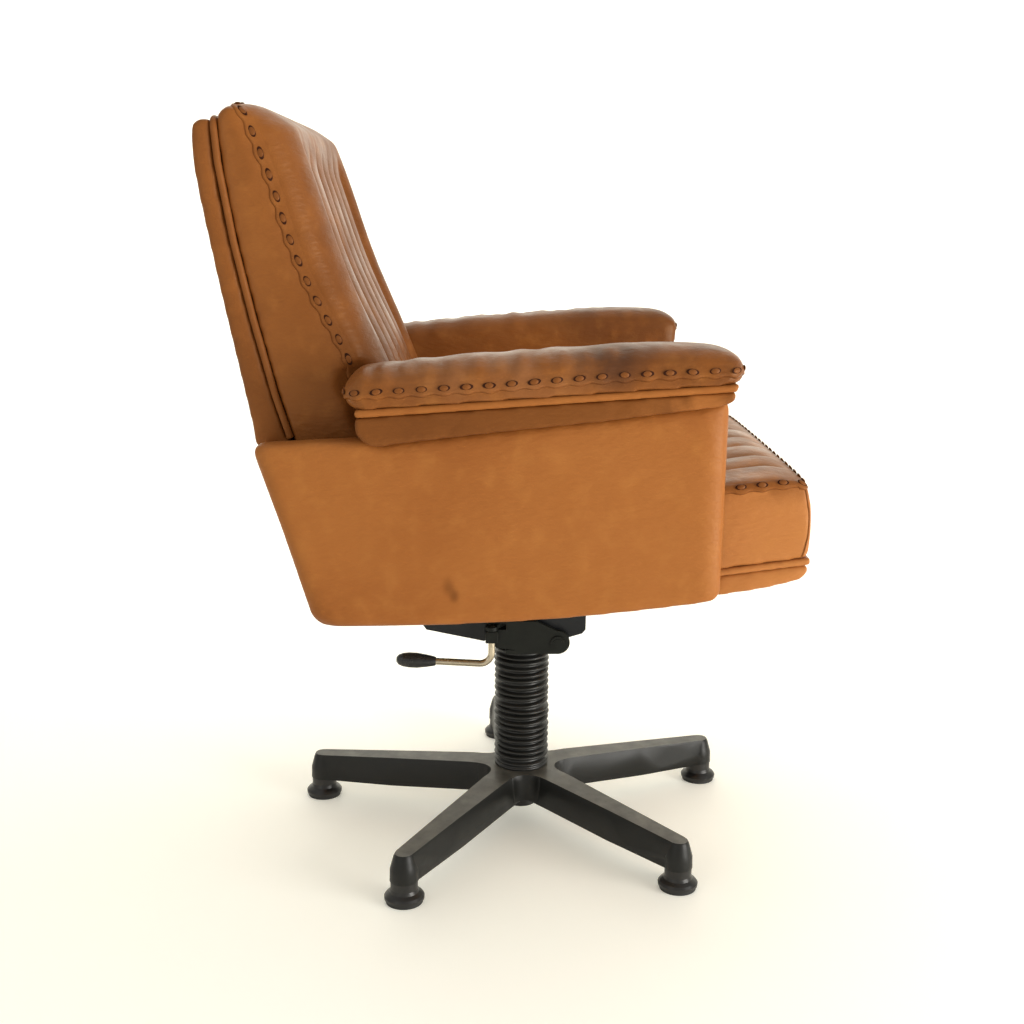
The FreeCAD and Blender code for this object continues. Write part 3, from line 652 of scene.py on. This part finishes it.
def back_first(co, normals):
    """Rounds the front edge: from the crest of the bolster back to the lace on the side face."""
    x, y, z = co.T
    height = np.clip(z, 560, 1030)
    front = along(BACK_FRONT, height, 1)
    rear = along(BACK_WELT, height, 1)
    laced = along(BACK_LACE, height, 1)
    u = np.clip((np.abs(x) - (BACK_HALF - BOLSTER)) / BOLSTER, 0, 1)
    shift = (laced - front - 10) * (1 - np.sqrt(1 - u ** 2.2)) * step(560, 660, z)
    weight = np.clip((rear - y) / np.maximum(rear - front, 1), 0, 1)
    co = co.copy()
    co[:, 1] += shift * weight
    co[:, 2] -= 9 * u ** 3 * step(985, 1025, z) * weight
    return co


def shape_back(co, normals):
    x, y, z = co.T
    on_front = step(0.45, 0.85, normals @ np.array(BACK_FACE))
    half = BACK_HALF - BOLSTER
    inner = step(1000, 940, z)
    seams = quilt(x, half, BACK_CHANNELS, 9.0, 8.0) * inner
    recess = -10.0 * step(half + 26, half - 4, np.abs(x)) * step(1010, 950, z)
    lumbar = 7.0 * np.exp(-((z - 690) / 90) ** 2) * step(250, 100, np.abs(x))
    push = on_front * (seams + recess + lumbar)
    co = co + np.outer(push, BACK_FACE)
    side = step(0.6, 0.95, np.abs(normals[:, 0])) * step(560, 640, z)
    rear = along(BACK_WELT, np.clip(z, 560, 1020), 1)
    laced = along(BACK_LACE, np.clip(z, 560, 1020), 1)
    between = np.clip((rear - y) / np.maximum(rear - laced, 20), 0, 1)
    co[:, 0] += np.sign(x) * side * 4.0 * np.sin(math.pi * between)
    return dimples(co, normals, back_lace_path(), 1.4, 9.0)


def back_lace_path():
    near_side = [(-BACK_HALF, y, z) for y, z in reversed(BACK_LACE)]
    corner = [(-BACK_HALF + 6, 349, 1026), (-BACK_HALF + 22, 350, 1030)]
    top = [(x, 350, 1030) for x in (-180, -90, 0, 90, 180)]
    near_part = near_side + corner
    return near_part + top + [(-x, y, z) for x, y, z in reversed(near_part)]


def shell_foot(co, normals):
    """Lets the shell's outer skin run a little behind the side panels' top corners."""
    x, y, z = co.T
    co = co.copy()
    co[:, 2] -= 9.0 * step(316, 322, y) * step(650, 622, z)
    return co


def back_facing(spot):
    """Direction from a point of the back's laced seam into the front leather."""
    return np.array((-0.2 * spot[0], -80.0, 20.0))


def make_back():
    cushion = soften("back_cushion_soft", "back_cushion", 5.0, 9, LEATHER_PAD, back_first, shape_back)
    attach(cushion, "seat")
    lace("back_lace", cushion, back_lace_path(), back_facing, LEATHER_PAD, 1.4)
    finer(cushion)
    shell = soften("back_shell_soft", "back_shell", 5.0, 8, LEATHER_SHELL, first=shell_foot)
    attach(shell, "seat")
    finer(shell)
    edge = [(BACK_HALF - 1.0, y, z) for y, z in reversed(BACK_WELT)]
    near_part = edge[:-1] + rounded_corner(edge[-2], (BACK_HALF - 1.0, 376, 1011), (0, 376, 1011), 14)
    far_part = [(-x, y, z) for x, y, z in reversed(near_part)]
    piping("back_piping", near_part + far_part, 4.4, "back_welt")
    panel = soften("rear_panel_soft", "rear_panel", 5.0, 4, LEATHER_PANEL)
    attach(panel, "seat")


# ---- sides and arms -----------------------------------------------------------------------
def around_arm(side, y_front, y_rear, radius):
    """Open path from the apron around the front, outer side and rear of an armrest, seen in plan."""
    inner = ARM_IN + 16
    plan = [(inner, y_front), (ARM_OUT, y_front), (ARM_OUT, y_rear), (inner, y_rear)]
    return loop_path([(side * x, y, 0.0) for x, y in plan], radius)


def at_height(path, line):
    return [(x, y, float(along(line, y, 0))) for x, y, _ in path]


def arm_lace_path(side):
    return at_height(evenly(around_arm(side, -252, 219, 22), 12), ARM_LACE)


def arm_first(side):
    middle = side * ARM_MIDDLE

    def shape(co, normals):
        """Domes the pad above its laced seam, and rounds its ends in plan."""
        x, y, z = co.T
        seam = along(ARM_LACE, np.clip(y, *PAD_SPAN), 0)
        u = np.clip(np.abs(x - middle) / ARM_HALF, 0, 1)
        outside = side * (x - middle) > 0
        dome = (1 - u ** np.where(outside, 2.9, 3.6)) ** 0.5
        co = co.copy()
        co[:, 2] = np.where(z > seam, seam + (z - seam) * (0.04 + 0.96 * dome) * 1.06, z)
        end = np.clip(1 - u ** np.where(outside, 6, 16), 0, 1)
        co[:, 1] = np.where(y < -225, -225 + (y + 225) * (0.35 + 0.65 * end), co[:, 1])
        co[:, 1] = np.where(y > 190, 190 + (y - 190) * (0.3 + 0.7 * end), co[:, 1])
        return co
    return shape


def arm_last(side):
    middle = side * ARM_MIDDLE

    def shape(co, normals):
        """Fills the pad, and gathers the leather where the lace pulls on it."""
        x, y, z = co.T
        seam = along(ARM_LACE, np.clip(y, *PAD_SPAN), 0)
        u = np.abs(x - middle) / ARM_HALF
        above = step(2, 14, z - seam)
        co = co + normals * (1.2 * above)[:, None]
        gather = np.cos(2 * math.pi * (y - 12) / LACE_PITCH + 0.6 * np.sin(y / 31.0))
        outside = step(-0.1, 0.3, side * (x - middle) / ARM_HALF)
        shoulder = np.exp(-((u - 0.6) / 0.34) ** 2) * above * step(-190, -90, y) * outside
        crown = 0.9 * np.sin(y / 9.0 + 1.3 * np.sin(y / 23.0)) * step(-150, -60, y) * above
        co = co + normals * (1.3 * gather * shoulder + crown)[:, None]
        return dimples(co, normals, arm_lace_path(side), 1.3, 8.0)
    return shape


def panel_last(side):
    """Broad round edges on the outer face of a side panel, at its front and rear."""
    face = ARM_OUT - 22

    def shape(co, normals):
        outer = step(face - 20, face - 2, side * co[:, 0])
        rear = along([(242, 401), (268, 416), (331, 616)], co[:, 2], 1)
        drop = 0.0
        edges = [(co[:, 1] + 240, 32, 8.0), (rear - co[:, 1], 26, 5.0), (co[:, 2] - 404, 14, 2.0)]
        for reach, width, depth in edges:
            near_edge = np.clip(1 - reach / width, 0, 1)
            drop = np.maximum(drop, depth * near_edge ** 2)
        co = co.copy()
        co[:, 0] -= side * outer * drop
        return co
    return shape


def upward(spot):
    return np.array((0.0, 0.0, 1.0))


def make_arm(name, side):
    shaping = (arm_first(side), arm_last(side))
    pad = soften("arm_pad_soft_" + name, "arm_pad_" + name, 3.6, 7, LEATHER_PAD, *shaping)
    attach(pad, "seat")
    lace("arm_lace_" + name, pad, arm_lace_path(side), upward, LEATHER_PAD, 2.4)
    finer(pad)
    strip = soften("arm_welt_soft_" + name, "arm_welt_" + name, 2.2, 6, LEATHER_PANEL, None, swell)
    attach(strip, "seat")
    lower = soften("arm_base_soft_" + name, "arm_base_" + name, 3.6, 14, LEATHER_ARM)
    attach(lower, "seat")
    finer(lower)
    node = "side_panel_" + name
    panel = soften("side_panel_soft_" + name, node, 4.4, 18, LEATHER_PANEL, None, panel_last(side))
    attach(panel, "seat")
    finer(panel)


# ---- base and mechanism -------------------------------------------------------------------
GAITER_RINGS = 20
GAITER_COLLAR = 3.5
GAITER_ROOT = 33.6
GAITER_BORE = 30.0


def make_gaiter():
    """Bellows with full round crests and narrow roots, slightly uneven as rubber is."""
    low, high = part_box("gaiter")
    bottom, top = low.z / MM, high.z / MM
    collar = GAITER_COLLAR
    pitch = (top - bottom - collar) / GAITER_RINGS
    outer = [(39.6, bottom), (40.2, bottom + 1.2), (39.2, bottom + collar)]
    for ring in range(GAITER_RINGS):
        start = bottom + collar + ring * pitch
        fullness = RNG.uniform(-0.6, 0.4)
        for t in (0.12, 0.24, 0.36, 0.5, 0.64, 0.76, 0.88, 1.0):
            depth = 1 - abs(2 * t - 1) ** 2.0
            outer.append((GAITER_ROOT + (7.3 + fullness) * depth, start + t * pitch))
    profile = outer + [(GAITER_BORE, top), (GAITER_BORE, bottom)]
    rings = [(RNG.uniform(0, 2 * math.pi), RNG.uniform(0.4, 2.2)) for _ in range(GAITER_RINGS + 1)]
    bm = bmesh.new()
    segments = 72
    loops = []
    for i in range(segments):
        angle = 2 * math.pi * i / segments
        loop = []
        for r, z in profile:
            turn, tilt = rings[int(np.clip((z - bottom - collar) / pitch, 0, GAITER_RINGS))]
            sway = 0.5 + 0.5 * (z - bottom) / (top - bottom)
            free = step(0, 8, z - bottom) * step(0, 8, top - z) * (r > GAITER_BORE + 1)
            lift = tilt * sway * free * math.cos(angle + turn)
            bulge = 0.5 * free * math.sin(2 * angle + turn)
            reach = (r + bulge) * MM
            loop.append(bm.verts.new((reach * math.cos(angle), reach * math.sin(angle), (z + lift) * MM)))
        loops.append(loop)
    for i in range(segments):
        a, b = loops[i], loops[(i + 1) % segments]
        for k in range(len(profile)):
            n = (k + 1) % len(profile)
            bm.faces.new((a[k], b[k], b[n], a[n]))
    bmesh.ops.recalc_face_normals(bm, faces=bm.faces)
    mesh = bpy.data.meshes.new("gaiter_bellows")
    bm.to_mesh(mesh)
    bm.free()
    piece = link("gaiter_bellows", mesh, GAITER_RUBBER)
    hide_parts("gaiter")
    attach(piece, "spindle")
    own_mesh(piece)


def make_springs():
    """Tilt springs, copied from their CAD nodes with a steel finish."""
    for name in SIDES:
        node = "tilt_spring_" + name
        spring = link(node + "_coil", NODES[node].data.copy(), STEEL)
        low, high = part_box(node)
        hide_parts(node)
        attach(spring, "column")
        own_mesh(spring)


def finish_node(node, material, bevel=0.0):
    """CAD node kept as it is, with its own material and, for stiff castings, eased edges."""
    piece = NODES[node]
    piece.data.materials.clear()
    piece.data.materials.append(material)
    if bevel:
        weld = piece.modifiers.new("weld", "WELD")
        weld.merge_threshold = 0.00002
        eased = piece.modifiers.new("eased", "BEVEL")
        eased.width = bevel * MM
        eased.segments = 2
        eased.limit_method = "ANGLE"
        eased.angle_limit = math.radians(40)
        eased.harden_normals = True


def make_mechanism():
    for number in range(1, 6):
        finish_node("glide_%d" % number, BLACK_PLASTIC)
        finish_node("glide_pad_%d" % number, RUBBER)
    finishes = {
        BLACK_PLASTIC: ["hub_cap"],
        RUBBER: ["stop_buffers"],
        HOUSING_PAINT: [
            "column_tube", "gas_cylinder", "lever_cam", "back_bracket_left", "back_bracket_right",
            "axle_clips", "pivot_axle",
        ],
        STEEL: [
            "bearing_lower", "bearing_balls", "bearing_upper", "rod_clip", "piston_rod", "release_pin",
            "pan_screws", "panel_bolts", "arm_bolts",
        ],
        ACETAL: ["column_bush", "pivot_bushes"],
        NICKEL: ["lever_rod"],
        GRIP: ["lever_grip"],
    }
    for material, names in finishes.items():
        for node in names:
            finish_node(node, material)
    finish_node("base_star", BASE_CAST, 1.6)
    finish_node("tilt_housing", HOUSING_PAINT, 1.2)
    finish_node("lever_sleeve", HOUSING_PAINT, 1.0)
    finish_node("seat_pan", PAN_PAINT, 0.8)
    finish_node("bearer_front", BEECH, 1.5)
    finish_node("bearer_rear", BEECH, 1.5)
    finish_node("seat_board", PLYWOOD, 1.0)


# ---- studio -------------------------------------------------------------------------------
def make_studio():
    """Pale floor that curves up into a pale wall behind the chair, and large soft lights."""
    bm = bmesh.new()
    profile = [(-6.0, 0.0), (2.2, 0.0)]
    for turn in np.linspace(0.1, math.pi / 2, 14):
        profile.append((2.2 + 1.6 * math.sin(turn), 1.6 - 1.6 * math.cos(turn)))
    profile += [(3.8, 6.0)]
    rows = [[bm.verts.new((x, y, z)) for x, z in profile] for y in (-7.0, 7.0)]
    for k in range(len(profile) - 1):
        bm.faces.new((rows[0][k], rows[0][k + 1], rows[1][k + 1], rows[1][k]))
    mesh = bpy.data.meshes.new("backdrop")
    bm.to_mesh(mesh)
    bm.free()
    material, nodes, links, shader = new_material("backdrop")
    shader.inputs["Base Color"].default_value = (0.93, 0.92, 0.85, 1)
    shader.inputs["Roughness"].default_value = 0.6
    shader.inputs["Emission Color"].default_value = (1.0, 0.97, 0.84, 1)
    shader.inputs["Emission Strength"].default_value = 0.22
    floor = link("backdrop", mesh, material)
    world = bpy.data.worlds.new("studio")
    world.use_nodes = True
    world.node_tree.nodes["Background"].inputs[0].default_value = (1.0, 0.985, 0.93, 1)
    world.node_tree.nodes["Background"].inputs[1].default_value = 0.58
    bpy.context.scene.world = world
    lights = [
        ("key", (-1.7, -2.5, 0.60), 1.6, 92.0, (1.0, 0.98, 0.93)),
        ("fill", (-2.8, 2.4, 1.8), 2.4, 16.0, (1.0, 0.98, 0.93)),
        ("top", (0.6, 0.2, 3.2), 2.2, 13.0, (1.0, 1.0, 0.97)),
        ("wall", (1.6, 0.0, 2.6), 3.0, 60.0, (1.0, 0.99, 0.96)),
    ]
    for name, place, size, power, colour in lights:
        data = bpy.data.lights.new(name, "AREA")
        data.size = size
        data.energy = power
        data.color = colour
        lamp = bpy.data.objects.new(name, data)
        lamp.location = place
        target = Vector((3.6, 0.0, 1.2)) if name == "wall" else Vector((0.0, 0.0, 0.5))
        lamp.rotation_euler = (target - lamp.location).to_track_quat("-Z", "Y").to_euler()
        bpy.context.scene.collection.objects.link(lamp)


def make_camera():
    """Camera at the sitter's right, looking slightly down."""
    heading, pitch, roll = math.radians(-0.843), math.radians(12.602), math.radians(0.232)
    level_part = math.cos(pitch)
    forward = Vector((math.cos(heading) * level_part, math.sin(heading) * level_part, -math.sin(pitch)))
    level = forward.cross(Vector((0, 0, 1))).normalized()
    upright = level.cross(forward)
    right = math.cos(roll) * level + math.sin(roll) * upright
    up = -math.sin(roll) * level + math.cos(roll) * upright
    data = bpy.data.cameras.new("camera")
    data.lens = 47.39
    data.sensor_width = 36.0
    camera = bpy.data.objects.new("camera", data)
    turn = Matrix((right, up, -forward)).transposed().to_4x4()
    camera.matrix_world = Matrix.Translation((-1.9291, 0.0438, 0.9054)) @ turn
    bpy.context.scene.collection.objects.link(camera)
    bpy.context.scene.camera = camera


make_seat_cushion()
make_back()
for side_name, side_sign in SIDES.items():
    make_arm(side_name, side_sign)
make_gaiter()
make_springs()
make_mechanism()
make_studio()
make_camera()
bpy.context.scene.view_settings.view_transform = "Standard"
